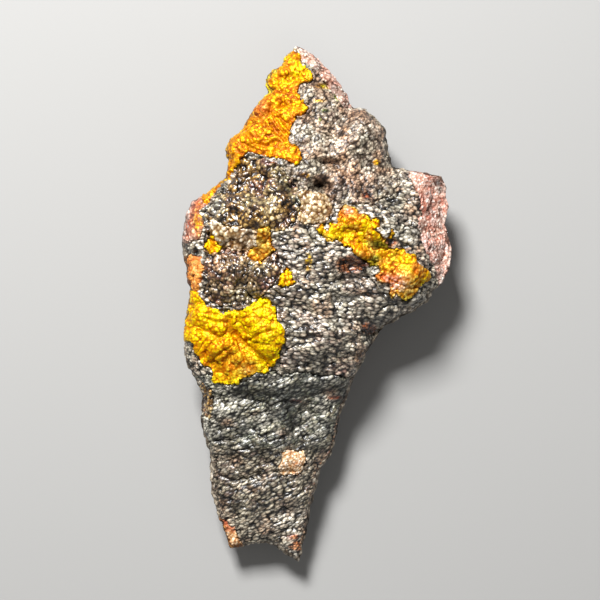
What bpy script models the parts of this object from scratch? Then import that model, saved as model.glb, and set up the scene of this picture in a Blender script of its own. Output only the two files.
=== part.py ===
"""Iridescent goethite specimen, one solid lying on its broken back.

The outline, the relief and the crust edges are written in millimetres, seen from above: X to the
right, Y towards the pointed tip, Z up to the crusted face. The origin is the middle of the
outline, on the surface that the specimen rests on.
"""

import bmesh
import bpy
import numpy as np

MM = 0.001

# Grid of the crusted face and of the back, and the triangles kept when flat stretches are merged.
COLUMNS = 84
ROWS = 150
WALL_CUTS = 3
KEPT_SHARE = 0.165

# Plan outline: the two long edges from the tip down, and the hollow lower edge from left to right.
LEFT_EDGE = [
    (-4.5, 55.1), (-7.0, 52.5), (-7.6, 50.6), (-9.5, 50.0), (-11.0, 47.6), (-11.0, 45.9),
    (-10.4, 44.9), (-12.3, 42.8), (-14.4, 39.6), (-16.1, 36.6), (-18.4, 34.9), (-19.5, 32.4),
    (-18.9, 29.8), (-19.3, 26.7), (-22.7, 23.9), (-26.3, 21.8), (-27.6, 19.0), (-28.2, 15.2),
    (-28.4, 11.2), (-27.6, 8.0), (-27.8, 5.9), (-26.7, 2.9), (-27.6, -2.0), (-28.2, -6.0),
    (-28.2, -10.0), (-27.3, -13.2), (-25.0, -17.6), (-24.4, -20.0), (-24.8, -26.3),
    (-23.1, -31.0), (-22.5, -40.3), (-20.8, -46.0), (-19.3, -50.9), (-18.9, -52.4),
]
RIGHT_EDGE = [
    (-3.6, 55.1), (0.2, 52.3), (4.0, 48.1), (6.6, 44.5), (7.6, 41.7), (10.4, 41.5), (14.6, 37.0),
    (15.0, 32.6), (15.9, 29.0), (19.3, 28.3), (22.9, 28.0), (26.3, 26.9), (27.3, 24.5),
    (27.1, 22.8), (27.8, 20.7), (26.9, 16.9), (28.4, 11.0), (27.8, 7.2), (26.1, 4.0),
    (24.4, 2.5), (23.4, 0.4), (20.1, -1.7), (18.0, -2.6), (16.3, -3.8), (14.0, -4.8),
    (12.9, -6.6), (10.6, -10.4), (7.4, -17.0), (6.8, -19.6), (5.3, -22.9), (4.0, -28.9),
    (3.0, -32.1), (0.8, -35.2), (0.0, -39.5), (-1.5, -44.1), (-1.9, -49.0), (-3.0, -51.1),
    (-3.0, -53.7), (-4.0, -55.1),
]
FOOT_EDGE = [
    (-18.9, -52.4), (-16.3, -52.0), (-11.7, -51.1), (-9.3, -51.6), (-6.6, -53.7), (-4.0, -55.1),
]
FOOT_REACH = 0.18
FOOT_EASE = 1.5

# Shares of the length at which the two long edges are matched: tip, shoulders, waist, foot.
LEFT_MATCH = [0.0, 0.40, 0.661, 1.0]
RIGHT_MATCH = [0.0, 0.327, 0.611, 1.0]

# Height of the crusted face above the rest plane, down the length from foot to tip.
CROWN_Y = [-55.0, -40.0, -25.0, -19.5, -17.5, -8.0, 2.0, 14.0, 26.0, 36.0, 46.0, 55.0]
CROWN_Z = [9.0, 11.5, 13.6, 14.6, 16.4, 18.6, 20.0, 20.4, 18.6, 16.6, 13.6, 9.5]
LEDGE_WANDER = 1.4
LEDGE_SPACING = 7.0
LEDGE_BOW = 1.0
LEDGE_HALF_WIDTH = 16.0
SIDE_FALL = 0.24
SIDE_CURVE = 1.8
ROOF_REACH = 18.0
EDGE_ROUND = 2.4
EDGE_SHARE = 0.60
BACK_EDGE_SHARE = 0.24
BACK_INSET = 0.03

# Bosses and hollows of the face: name, x, y, radius across, radius along, turn in degrees, height.
RELIEF = [
    ("bronze boss", -13.0, 21.0, 9.0, 8.5, 0, 2.4),
    ("bronze knob", -11.7, 17.8, 3.4, 3.6, 0, 2.4),
    ("left knob", -16.8, 24.6, 2.8, 3.4, 20, 1.4),
    ("upper knob", -10.4, 28.6, 3.0, 2.4, 0, 1.2),
    ("right knob", -6.4, 20.8, 2.0, 2.2, 0, 1.2),
    ("west knob", -19.0, 19.8, 2.0, 2.4, 0, 1.0),
    ("knob shadow", -11.9, 22.2, 4.4, 1.3, -15, -1.5),
    ("brown hollow", -15.8, 11.4, 6.6, 1.4, -5, -1.5),
    ("brown boss", -16.3, 5.6, 6.6, 3.4, 0, 1.3),
    ("upper vug", 1.0, 25.6, 2.8, 1.6, -10, -4.6),
    ("upper slot", 2.4, 29.4, 3.4, 1.1, -8, -3.2),
    ("small vug", -5.4, 24.0, 1.7, 1.1, 30, -2.4),
    ("red pit", 7.2, 8.1, 2.5, 1.5, -5, -2.8),
    ("red pit slot", 6.9, 5.2, 4.2, 1.2, 5, -2.8),
    ("gold trough", 7.0, 14.0, 7.0, 2.6, -22, -1.8),
    ("gold trough east", 14.6, 10.6, 4.4, 2.4, -38, -1.8),
    ("trough lip", 13.0, 18.4, 5.2, 1.8, -28, 1.0),
    ("gold shelf", 19.0, 5.0, 4.4, 3.0, -18, 0.8),
    ("rim hollow", 12.2, -6.0, 2.2, 1.8, 20, -3.0),
    ("waist boss", 1.0, -8.0, 9.4, 4.4, 5, 1.5),
    ("waist furrow", -3.2, -1.6, 6.0, 1.4, -12, -1.0),
    ("crust dimple", -15.4, -8.2, 1.7, 3.2, 42, -1.7),
    ("crust fold", -10.6, -12.2, 1.0, 3.6, 38, -1.2),
    ("crust cushion", -10.4, -5.4, 3.6, 3.2, 0, 0.9),
    ("blade boss", -19.6, -22.4, 4.6, 3.0, 10, 1.3),
    ("blade hollow", -2.6, -23.6, 3.2, 4.6, 5, -1.5),
    ("blade rib", -13.4, -30.0, 8.0, 1.6, 10, 0.7),
    ("blade furrow", -12.6, -36.6, 8.0, 1.6, 10, -0.6),
    ("blade east hollow", 0.2, -31.8, 2.4, 2.2, 0, -1.0),
    ("pale scab", -5.4, -33.2, 2.4, 2.2, 0, 0.7),
    ("shoulder boss", 10.6, 36.2, 4.6, 5.0, 0, 1.5),
    ("shoulder furrow", 5.0, 38.0, 2.0, 4.6, -25, -1.0),
    ("tip hollow", 1.8, 45.8, 2.4, 1.2, -20, -1.8),
    ("lobe saddle", 19.0, 20.0, 2.6, 6.0, 0, -1.0),
]

# The break that slants down along the pink lobe on the right.
LOBE_TOP = 20.6
LOBE_SLOPE = 0.62
LOBE_LOW_END = 2.0
LOBE_HIGH_END = 30.0
LOBE_FADE = 5.0

# Golden crust, thicker than the grey crust round it and broken off at its edge.
CRUST_STEP = 0.6
CRUST_EDGE = 0.5
UPPER_CRUST = [
    (-4.8, 54.0), (-3.9, 51.2), (-1.0, 49.5), (-0.2, 47.0), (-3.3, 46.3), (-4.0, 43.8),
    (-1.2, 41.0), (-2.6, 38.8), (-5.0, 39.2), (-5.7, 33.8), (-3.0, 31.6), (-4.4, 28.6),
    (-7.8, 30.1), (-14.4, 31.2), (-16.6, 29.4), (-19.5, 24.4), (-22.2, 21.4), (-24.0, 22.4),
    (-20.6, 26.4), (-20.4, 33.0), (-17.0, 37.2), (-12.0, 42.0), (-12.0, 47.0), (-8.0, 51.0),
]
LOWER_CRUST = [
    (-28.0, 2.6), (-24.2, 1.8), (-22.6, -0.9), (-19.2, -1.9), (-17.2, -1.0), (-13.8, -0.9),
    (-11.6, 1.0), (-9.4, 1.2), (-8.6, -2.6), (-6.5, -5.6), (-7.4, -10.0), (-8.4, -12.8),
    (-10.6, -15.0), (-15.0, -15.6), (-18.4, -17.4), (-21.6, -16.6), (-22.4, -13.8),
    (-24.8, -13.0), (-25.6, -9.0), (-29.0, -7.0), (-27.0, -4.4), (-29.0, -2.0),
]
VUG_CRUST = [
    (-0.6, 15.6), (2.2, 14.8), (4.4, 17.6), (5.9, 20.2), (9.4, 17.4), (12.4, 16.0), (15.4, 15.0),
    (14.0, 11.2), (20.6, 10.6), (20.4, 8.4), (24.6, 6.0), (20.6, 4.6), (17.6, 1.2),
    (14.2, 1.2), (10.8, 5.8), (12.8, 8.6), (9.0, 10.0), (4.0, 13.0),
]

# Hills and rounded lumps of the crust, how far apart they are and how far they stand out, and the
# bronze field whose lumps are larger.
HILL_SPACING = 7.0
HILL_RISE = 0.5
LUMP_SPACING = 3.6
LUMP_RISE = 0.9
BRONZE_SPACING = 3.1
BRONZE_RISE = 1.6
BRONZE_FADE = 2.0
LUMP_MIDDLE = 0.45
BRONZE_FIELD = [
    (-15.6, 30.4), (-8.4, 28.8), (-4.4, 23.6), (-4.8, 16.4), (-8.0, 9.4), (-8.6, 1.6),
    (-15.0, -0.6), (-21.4, 0.4), (-24.2, 9.0), (-24.0, 16.4), (-20.8, 22.6),
]

# Broken side wall: how far it is bitten in, and how far apart the bites are.
WALL_BITE = 0.7
WALL_LEAN = 0.3
WALL_SPACING = 5.0

# Back: hills and hollows of the break, and the places that are broken down to the rest plane.
BACK_LEVEL = 1.2
BACK_RELIEF = 3.4
BACK_DEPTH = 40.0
BACK_WAVES = [(12.0, 0.6), (5.4, 0.3)]
BACK_RIDGES = (8.4, 0.35)
BACK_SHOULDER = 7.0
REST_PLACES = [
    (0.0, -4.0, 11.0), (-12.5, -38.0, 8.0), (18.0, 13.0, 8.0), (-19.0, 11.0, 8.0), (-2.0, 36.0, 8.0),
]
REST_DEPTH = 3.0
CUTTER_SIZE = (90.0, 140.0, 20.0)

# Colour, roughness and metallic value of the crusts and of the earthy stone under them, which
# shows on faces that lean more than this.
STEEP = 0.15
FINISHES = {
    "dark goethite": ((0.115, 0.100, 0.085), 0.42, 0.35),
    "golden film": ((0.780, 0.390, 0.020), 0.36, 0.45),
    "rose matrix": ((0.430, 0.215, 0.160), 0.80, 0.0),
}


def along(points, share):
    """Points at these shares of the length of the line through the given points."""
    line = np.array(points, float)
    steps = np.hypot(*np.diff(line, axis=0).T)
    reach = np.concatenate([[0.0], np.cumsum(steps)]) / steps.sum()
    return np.stack([np.interp(share, reach, line[:, i]) for i in range(2)], axis=-1)


def plan(u, v):
    """Plan position for u from the left edge to the right and v from the tip to the foot."""
    left = along(LEFT_EDGE, v)
    right = along(RIGHT_EDGE, np.interp(v, LEFT_MATCH, RIGHT_MATCH))
    row = left + (right - left) * u[:, None]
    ends = np.array([LEFT_EDGE[-1], RIGHT_EDGE[-1]], float)
    chord = ends[0] + (ends[1] - ends[0]) * u[:, None]
    pull = np.clip(1 - (1 - v) / FOOT_REACH, 0, 1) ** FOOT_EASE
    return row + (along(FOOT_EDGE, u) - chord) * pull[:, None]


def inside(points, outline):
    """Distance from the outline in millimetres, positive inside it."""
    a = np.array(outline, float)
    b = np.roll(a, -1, axis=0)
    edge = b - a
    from_a = points[:, None, :] - a
    share = np.clip((from_a * edge).sum(-1) / (edge**2).sum(-1), 0, 1)
    gap = np.linalg.norm(from_a - edge * share[..., None], axis=-1).min(axis=1)
    x, y = points[:, None, 0], points[:, None, 1]
    spans = (a[:, 1] > y) != (b[:, 1] > y)
    rise = np.where(edge[:, 1] == 0, 1e-9, edge[:, 1])
    crossed = spans & (x < a[:, 0] + edge[:, 0] * (y - a[:, 1]) / rise)
    return np.where(crossed.sum(axis=1) % 2 == 1, gap, -gap)


def step_up(value, width):
    """Smooth step from 0 to 1 as the value goes from minus half the width to plus half."""
    t = np.clip(value / width + 0.5, 0, 1)
    return t * t * (3 - 2 * t)


def scatter(cells, salt):
    """Repeatable number from 0 to 1 for each whole-number cell."""
    n = cells @ np.array([374761393, 668265263, 1103515245]) + salt * 362437
    n = n & 0xFFFFFFFF
    n = ((n ^ (n >> 13)) * 1274126177) & 0xFFFFFFFF
    return ((n ^ (n >> 16)) & 0xFFFFFF) / float(0xFFFFFF)


def swell(points, spacing, salt):
    """Smooth hills and hollows from -1 to 1, that far apart: random heights blended on a lattice."""
    p = points / spacing
    base = np.floor(p).astype(np.int64)
    f = p - base
    f = f * f * (3 - 2 * f)
    total = np.zeros(len(p))
    for corner in np.ndindex(2, 2, 2):
        weight = np.prod(np.where(np.array(corner) == 1, f, 1 - f), axis=1)
        total += weight * scatter(base + np.array(corner), salt)
    return total * 2 - 1


def lumps(points, spacing, salt):
    """Height from 0 to 1 of round-topped lumps packed that far apart, as grape-like crust has."""
    p = points / spacing
    base = np.floor(p).astype(np.int64)
    top = np.zeros(len(p))
    for shift in np.ndindex(3, 3, 3):
        cell = base + np.array(shift) - 1
        centre = cell + np.stack([scatter(cell, salt + k) for k in range(3)], axis=1)
        size = 0.55 + 0.35 * scatter(cell, salt + 3)
        gap = ((p - centre) ** 2).sum(axis=1)
        top = np.maximum(top, np.sqrt(np.clip(size**2 - gap, 0, None)))
    return top


def on_plane(xy, z=0.0):
    """Plan points as points in space, for the lattice functions."""
    return np.column_stack([xy, np.full(len(xy), z)])


def landmarks(xy):
    """Sum of the named bosses and hollows, each a bell over an ellipse."""
    total = np.zeros(len(xy))
    for _, x, y, across, down, turn, height in RELIEF:
        c, s = np.cos(np.radians(turn)), np.sin(np.radians(turn))
        dx, dy = xy[:, 0] - x, xy[:, 1] - y
        reach = ((dx * c + dy * s) / across) ** 2 + ((dy * c - dx * s) / down) ** 2
        total += height * np.exp(-reach)
    return total


def crown(xy):
    """Height of the middle of the face along the length, where its ledges wander a little."""
    wander = LEDGE_WANDER * swell(on_plane(xy), LEDGE_SPACING, 61)
    bow = LEDGE_BOW * (1 - (xy[:, 0] / LEDGE_HALF_WIDTH) ** 2)
    return np.interp(xy[:, 1] + wander - bow, CROWN_Y, CROWN_Z)


def rim_gap(xy):
    """How far plan points lie inside the outline."""
    return inside(xy, LEFT_EDGE + FOOT_EDGE[1:-1] + RIGHT_EDGE[::-1])


def inward(xy):
    """Unit direction away from the outline, from the slope of the gap over a millimetre each way."""
    steps = [rim_gap(xy + d) - rim_gap(xy - d) for d in ([1.0, 0.0], [0.0, 1.0])]
    slope = np.stack(steps, axis=1)
    return slope / (np.linalg.norm(slope, axis=1)[:, None] + 1e-9)


def lobe_fall(xy):
    """How far the slanting break on the right lobe lies below the face."""
    span = step_up(xy[:, 1] - LOBE_LOW_END, LOBE_FADE) * step_up(LOBE_HIGH_END - xy[:, 1], LOBE_FADE)
    return np.clip(xy[:, 0] - LOBE_TOP, 0, None) * LOBE_SLOPE * span


def face(u, v):
    """Points of the crusted face: a low roof with its relief, crust steps and lumps, rounded at the rim."""
    xy = plan(u, v)
    middle = crown(xy)
    gap = np.clip(rim_gap(xy), 0, None)
    roof = middle * (1 - SIDE_FALL * np.clip(1 - gap / ROOF_REACH, 0, 1) ** SIDE_CURVE)
    height = roof + landmarks(xy) - lobe_fall(xy)
    spots = on_plane(xy)
    height += HILL_RISE * swell(spots, HILL_SPACING, 11)
    height += LUMP_RISE * (lumps(spots, LUMP_SPACING, 21) - LUMP_MIDDLE)
    bronze = step_up(inside(xy, BRONZE_FIELD), BRONZE_FADE)
    height += bronze * BRONZE_RISE * (lumps(spots, BRONZE_SPACING, 31) - LUMP_MIDDLE)
    for outline in (UPPER_CRUST, LOWER_CRUST, VUG_CRUST):
        height += CRUST_STEP * step_up(inside(xy, outline), CRUST_EDGE)
    rim = middle * EDGE_SHARE
    share = np.sqrt(1 - (1 - np.clip(gap / EDGE_ROUND, 0, 1)) ** 2)
    return np.column_stack([xy, rim + (height - rim) * share])


def back(u, v):
    """Points of the broken back, drawn in a little, with the places it rests on below the rest plane."""
    xy = plan(BACK_INSET + (1 - 2 * BACK_INSET) * u, BACK_INSET / 2 + (1 - BACK_INSET) * v)
    spots = on_plane(xy, BACK_DEPTH)
    rough = sum(share * swell(spots, spacing, 41 + k) for k, (spacing, share) in enumerate(BACK_WAVES))
    rough += BACK_RIDGES[1] * np.abs(swell(spots, BACK_RIDGES[0], 43))
    height = BACK_LEVEL + BACK_RELIEF * rough
    for x, y, radius in REST_PLACES:
        height -= REST_DEPTH * np.exp(-(((xy - [x, y]) / radius) ** 2).sum(axis=1))
    rim = crown(xy) * BACK_EDGE_SHARE
    share = np.clip(rim_gap(plan(u, v)) / BACK_SHOULDER, 0, 1)
    return np.column_stack([xy, rim + (height - rim) * np.sin(share * np.pi / 2)])


def slab():
    """A grid drawn out into a slab with a subdivided side wall, its flat corners marked by u, v and w."""
    bm = bmesh.new()
    bmesh.ops.create_grid(bm, x_segments=COLUMNS, y_segments=ROWS, size=0.5)
    drawn = bmesh.ops.extrude_face_region(bm, geom=bm.faces[:])
    raised = [item for item in drawn["geom"] if isinstance(item, bmesh.types.BMVert)]
    bmesh.ops.translate(bm, verts=raised, vec=(0, 0, 1))
    upright = [e for e in bm.edges if abs(e.verts[0].co.z - e.verts[1].co.z) > 0.5]
    bmesh.ops.subdivide_edges(bm, edges=upright, cuts=WALL_CUTS)
    bmesh.ops.recalc_face_normals(bm, faces=bm.faces)
    mesh = bpy.data.meshes.new("goethite_specimen")
    bm.to_mesh(mesh)
    bm.free()
    return mesh


def shape(mesh):
    """Carries the slab's corners to the specimen: w is 1 on the face, 0 on the back, between on the wall."""
    flat = np.empty(len(mesh.vertices) * 3, np.float32)
    mesh.vertices.foreach_get("co", flat)
    u, v, w = flat.reshape(-1, 3).astype(float).T
    u, v = np.clip(u + 0.5, 0, 1), np.clip(0.5 - v, 0, 1)
    upper, lower = face(u, v), back(u, v)
    placed = lower + (upper - lower) * w[:, None]
    wall = (w > 0) & (w < 1)
    side = placed[wall]
    bite = WALL_BITE * (WALL_LEAN + swell(side, WALL_SPACING, 51)) * np.sin(np.pi * w[wall])
    placed[wall, :2] += inward(side[:, :2]) * bite[:, None]
    mesh.vertices.foreach_set("co", (placed * MM).astype(np.float32).ravel())
    mesh.update()


def finish(name):
    """Material with the finish of this name."""
    colour, roughness, metallic = FINISHES[name]
    material = bpy.data.materials.new(name)
    material.use_nodes = True
    shader = material.node_tree.nodes["Principled BSDF"]
    shader.inputs["Base Color"].default_value = (*colour, 1.0)
    shader.inputs["Roughness"].default_value = roughness
    shader.inputs["Metallic"].default_value = metallic
    return material


def paint(mesh):
    """Gives the golden crusts, and the earthy walls and back, their own finish."""
    for name in FINISHES:
        mesh.materials.append(finish(name))
    centres = np.empty(len(mesh.polygons) * 3, np.float32)
    normals = np.empty(len(mesh.polygons) * 3, np.float32)
    mesh.polygons.foreach_get("center", centres)
    mesh.polygons.foreach_get("normal", normals)
    centres = centres.reshape(-1, 3) / MM
    up = normals.reshape(-1, 3)[:, 2]
    gold = np.zeros(len(centres), bool)
    for outline in (UPPER_CRUST, LOWER_CRUST, VUG_CRUST):
        gold |= inside(centres[:, :2], outline) > 0
    index = np.where(up < STEEP, 2, np.where(gold, 1, 0))
    mesh.polygons.foreach_set("material_index", index.astype(np.int32))


def rest_cutter(collection):
    """Block under the rest plane that breaks the back's low places down flat."""
    bpy.ops.mesh.primitive_cube_add(size=1, location=(0, 0, -CUTTER_SIZE[2] / 2 * MM))
    cutter = bpy.context.object
    cutter.name = "rest_plane_cutter"
    cutter.scale = [side * MM for side in CUTTER_SIZE]
    bpy.ops.object.transform_apply(location=False, rotation=False, scale=True)
    cutter.hide_render = True
    cutter.display_type = "WIRE"
    for owner in list(cutter.users_collection):
        owner.objects.unlink(cutter)
    collection.objects.link(cutter)
    return cutter


def build():
    for old in list(bpy.data.objects):
        bpy.data.objects.remove(old)
    parts = bpy.data.collections.new("goethite specimen")
    cutters = bpy.data.collections.new("cutters")
    for collection in (parts, cutters):
        bpy.context.scene.collection.children.link(collection)
    mesh = slab()
    shape(mesh)
    paint(mesh)
    specimen = bpy.data.objects.new("goethite_specimen", mesh)
    parts.objects.link(specimen)
    merge = specimen.modifiers.new("merge flat stretches", "DECIMATE")
    merge.ratio = KEPT_SHARE
    cut = specimen.modifiers.new("rest plane", "BOOLEAN")
    cut.operation = "DIFFERENCE"
    cut.object = rest_cutter(cutters)


build()
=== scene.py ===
"""Iridescent goethite specimen: its crusts and broken stone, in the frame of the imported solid.

Lengths are in millimetres and outlines seen from above, with X to the right, Y towards the pointed
tip and Z up out of the crusted face, as the solid has them.
"""

import bpy
import numpy as np
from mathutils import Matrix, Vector


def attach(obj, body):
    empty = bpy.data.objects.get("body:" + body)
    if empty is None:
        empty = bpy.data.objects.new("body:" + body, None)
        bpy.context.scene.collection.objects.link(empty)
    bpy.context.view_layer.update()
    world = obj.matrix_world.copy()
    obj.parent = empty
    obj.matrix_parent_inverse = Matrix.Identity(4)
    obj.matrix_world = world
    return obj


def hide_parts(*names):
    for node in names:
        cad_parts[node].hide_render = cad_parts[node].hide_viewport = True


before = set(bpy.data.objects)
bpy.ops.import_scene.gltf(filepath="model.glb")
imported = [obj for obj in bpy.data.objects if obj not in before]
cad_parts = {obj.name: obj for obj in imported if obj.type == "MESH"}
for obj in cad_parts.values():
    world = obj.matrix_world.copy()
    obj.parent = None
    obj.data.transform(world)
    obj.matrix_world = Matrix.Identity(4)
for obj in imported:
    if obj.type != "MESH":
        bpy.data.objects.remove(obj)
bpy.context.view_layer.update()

# Studio: a pale floor under the specimen, one soft key light from beyond the tip that rakes over the
# lumps, a weak fill from the foot, and a long lens straight above the crusted face.
MM = 0.001
SPECIMEN = "goethite_specimen"
FRAME_WIDTH = 127.2
AIM = (-3.6, 0.8, 10.0)
LENS = 120.0
SENSOR = 36.0
FLOOR_SIZE = 3.0
FLOOR_DROP = 0.05
KEY_PLACE = (-0.14, 0.37, 0.43)
KEY_SIZE = 0.16
KEY_POWER = 9.0
LIGHT_TARGET = (0.0, 0.0, 0.01)
FILL_PLACE = (0.25, -0.45, 0.45)
FILL_SIZE = 0.5
FILL_POWER = 0.7
SKY = 0.18


def placed(name, data):
    """New object with this data, in the scene."""
    made = bpy.data.objects.new(name, data)
    bpy.context.scene.collection.objects.link(made)
    return made


def area_light(name, place, size, power):
    """Square area light at a place in metres, turned towards the specimen."""
    lamp = placed(name, bpy.data.lights.new(name, "AREA"))
    lamp.data.size = size
    lamp.data.energy = power
    lamp.location = place
    lamp.rotation_mode = "QUATERNION"
    lamp.rotation_quaternion = (Vector(LIGHT_TARGET) - Vector(place)).to_track_quat("-Z", "Y")


area_light("key_light", KEY_PLACE, KEY_SIZE, KEY_POWER)
area_light("fill_light", FILL_PLACE, FILL_SIZE, FILL_POWER)
world = bpy.data.worlds.new("studio")
world.use_nodes = True
sky = world.node_tree.nodes["Background"].inputs
sky["Color"].default_value = (1.0, 0.99, 0.97, 1.0)
sky["Strength"].default_value = SKY
bpy.context.scene.world = world
bpy.context.scene.view_settings.view_transform = "Standard"

camera = placed("camera", bpy.data.cameras.new("camera"))
camera.data.lens = LENS
camera.data.sensor_width = SENSOR
camera.location = (AIM[0] * MM, AIM[1] * MM, (AIM[2] + FRAME_WIDTH * LENS / SENSOR) * MM)
camera.data.clip_start = 0.01
bpy.context.scene.camera = camera

floor_mesh = bpy.data.meshes.new("floor")
half = FLOOR_SIZE / 2
corners = [(-half, -half), (half, -half), (half, half), (-half, half)]
floor_mesh.from_pydata([(x, y, -FLOOR_DROP * MM) for x, y in corners], [], [(0, 1, 2, 3)])
floor = placed("floor", floor_mesh)
floor_paper = bpy.data.materials.new("floor_paper")
floor_paper.use_nodes = True
paper = floor_paper.node_tree.nodes["Principled BSDF"]
paper.inputs["Base Color"].default_value = (0.3, 0.297, 0.29, 1.0)
paper.inputs["Roughness"].default_value = 0.9
floor_mesh.materials.append(floor_paper)

# The stone: one broken slab of earthy iron oxide that carries all the crusts. It has the solid's
# outline, roof and relief, a bitten side wall and a rough back, and it shows at the rims, on the
# rose lobe, on the wall and underneath.


def tenths(*flat):
    """Plan points from their x and y in turn, given in tenths of a millimetre."""
    values = [n / 10 for n in flat]
    return list(zip(values[::2], values[1::2]))


BODY_COLUMNS = 130
BODY_ROWS = 290
BODY_WALL = 20
LEFT_EDGE = tenths(
    -45, 551, -70, 525, -76, 506, -95, 500, -110, 476, -110, 459, -104, 449, -123, 428, -144, 396,
    -161, 366, -184, 349, -195, 324, -189, 298, -193, 267, -227, 239, -263, 218, -276, 190, -282, 152,
    -284, 112, -276, 80, -278, 59, -267, 29, -276, -20, -282, -60, -282, -100, -273, -132, -250, -176,
    -244, -200, -248, -263, -231, -310, -225, -403, -208, -460, -193, -509, -189, -524,
)
RIGHT_EDGE = tenths(
    -36, 551, 2, 523, 40, 481, 66, 445, 76, 417, 104, 415, 146, 370, 150, 326, 159, 290, 193, 283, 229, 280,
    263, 269, 273, 245, 271, 228, 278, 207, 269, 169, 284, 110, 278, 72, 261, 40, 244, 25, 234, 4, 201, -17,
    180, -26, 163, -38, 140, -48, 129, -66, 106, -104, 74, -170, 68, -196, 53, -229, 40, -289, 30, -321,
    8, -352, 0, -395, -15, -441, -19, -490, -30, -511, -30, -537, -40, -551,
)
FOOT_EDGE = tenths(-189, -524, -163, -520, -117, -511, -93, -516, -66, -537, -40, -551)
FOOT_REACH = 0.18
FOOT_EASE = 1.5
LEFT_MATCH = [0.0, 0.40, 0.661, 1.0]
RIGHT_MATCH = [0.0, 0.327, 0.611, 1.0]
CROWN_Y = [-55, -40, -25, -19.5, -17.5, -8, 2, 14, 26, 36, 46, 55]
CROWN_Z = [9, 11.5, 13.6, 14.6, 16.4, 18.6, 20, 20.4, 18.6, 16.6, 13.6, 9.5]
LEDGE_WANDER = 1.4
LEDGE_SPACING = 7.0
LEDGE_BOW = 1.0
LEDGE_HALF_WIDTH = 16.0
SIDE_FALL = 0.24
SIDE_CURVE = 1.8
ROOF_REACH = 18.0
EDGE_ROUND = 2.4
EDGE_SHARE = 0.64
BACK_EDGE_SHARE = 0.24
BACK_INSET = 0.03
RELIEF = [
    ("bronze boss", -13, 21, 9, 8.5, 0, 2.4),
    ("bronze knob", -11.7, 17.8, 3.4, 3.6, 0, 2.4),
    ("left knob", -16.8, 24.6, 2.8, 3.4, 20, 1.4),
    ("upper knob", -10.4, 28.6, 3, 2.4, 0, 1.2),
    ("right knob", -6.4, 20.8, 2, 2.2, 0, 1.2),
    ("west knob", -19, 19.8, 2, 2.4, 0, 1),
    ("knob shadow", -11.9, 22.2, 4.4, 1.3, -15, -1.5),
    ("brown hollow", -15.8, 11.4, 6.6, 1.4, -5, -1.1),
    ("brown boss", -16.3, 5.6, 6.6, 3.4, 0, 1.3),
    ("upper vug", 0.6, 24.7, 1.7, 1.2, -10, -4.2),
    ("upper slot", 2.4, 29.4, 3, 0.9, -8, -2.4),
    ("small vug", -5.4, 24, 1.7, 1.1, 30, -2.4),
    ("red pit", 7.2, 8.1, 2.5, 1.5, -5, -2.8),
    ("red pit slot", 6.9, 5.2, 4.2, 1.2, 5, -2.8),
    ("gold trough", 7, 14, 7, 2.6, -22, -1.8),
    ("gold trough east", 14.6, 10.6, 4.4, 2.4, -38, -1.8),
    ("trough lip", 13, 18.4, 5.2, 1.8, -28, 1),
    ("gold shelf", 19, 5, 4.4, 3, -18, 0.8),
    ("rim hollow", 12.2, -6, 2.2, 1.8, 20, -3),
    ("waist boss", 1, -8, 9.4, 4.4, 5, 1.5),
    ("waist furrow", -3.2, -1.6, 6, 1.4, -12, -1),
    ("crust dimple", -15.4, -8.2, 1.7, 3.2, 42, -1.7),
    ("crust fold", -10.6, -12.2, 1, 3.6, 38, -1.2),
    ("crust cushion", -10.4, -5.4, 3.6, 3.2, 0, 0.9),
    ("blade boss", -19.6, -22.4, 4.6, 3, 10, 1.3),
    ("blade hollow", -2.6, -23.6, 3.2, 4.6, 5, -1.5),
    ("blade rib", -13.4, -30, 8, 1.6, 10, 0.7),
    ("blade furrow", -12.6, -36.6, 8, 1.6, 10, -0.6),
    ("blade east hollow", 0.2, -31.8, 2.4, 2.2, 0, -1),
    ("pale scab", -5.4, -33.2, 2.4, 2.2, 0, 0.7),
    ("shoulder boss", 10.6, 36.2, 4.6, 5, 0, 1.5),
    ("shoulder furrow", 5, 38, 2, 4.6, -25, -1),
    ("tip hollow", 1.8, 45.8, 2.4, 1.2, -20, -1.8),
    ("lobe saddle", 19, 20, 2.6, 6, 0, -1),
    ("rust knob", -11.7, 41.2, 1.5, 1.5, 0, 1),
    ("round knob", -7, 49.1, 1.2, 1.2, 0, 0.8),
    ("edge knob", -10.5, 47, 1.4, 1.4, 0, 0.8),
    ("gold pillow", -10.8, 36.4, 2.2, 2, 0, 1.1),
    ("west pillow", -16.3, 34.3, 2.4, 2.2, 0, 1.1),
    ("tip disc", -1.9, 44.7, 1.9, 1.9, 0, 0.8),
]
LOBE_TOP = 20.6
LOBE_SLOPE = 0.62
LOBE_LOW_END = 2.0
LOBE_HIGH_END = 30.0
LOBE_FADE = 5.0
CRUST_STEP = 0.6
CRUST_EDGE = 0.5
CRUST_OUTLINES = {
    "upper": tenths(
        -48, 540, -39, 512, -10, 495, -2, 470, -33, 463, -40, 438, -12, 410, -26, 388, -50, 392, -57, 338,
        -30, 316, -44, 286, -78, 301, -144, 312, -166, 294, -195, 244, -222, 214, -240, 224, -206, 264,
        -204, 330, -170, 372, -120, 420, -120, 470, -80, 510,
    ),
    "lower": tenths(
        -280, 26, -242, 18, -226, -9, -192, -19, -172, -10, -138, -9, -116, 10, -94, 12, -86, -26, -65, -56,
        -74, -100, -84, -128, -106, -150, -150, -156, -184, -174, -216, -166, -224, -138, -248, -130,
        -256, -90, -290, -70, -270, -44, -290, -20,
    ),
    "vug": tenths(
        -6, 156, 22, 148, 44, 176, 59, 202, 94, 174, 124, 160, 154, 150, 140, 112, 206, 106, 204, 84,
        246, 60, 206, 46, 176, 12, 142, 12, 108, 58, 128, 86, 90, 100, 40, 130,
    ),
}
HILL_SPACING = 7.0
HILL_RISE = 0.5
LUMP_SPACING = 3.6
LUMP_RISE = 0.9
BRONZE_SPACING = 3.1
BRONZE_RISE = 1.6
BRONZE_FADE = 2.0
LUMP_MIDDLE = 0.45
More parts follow.
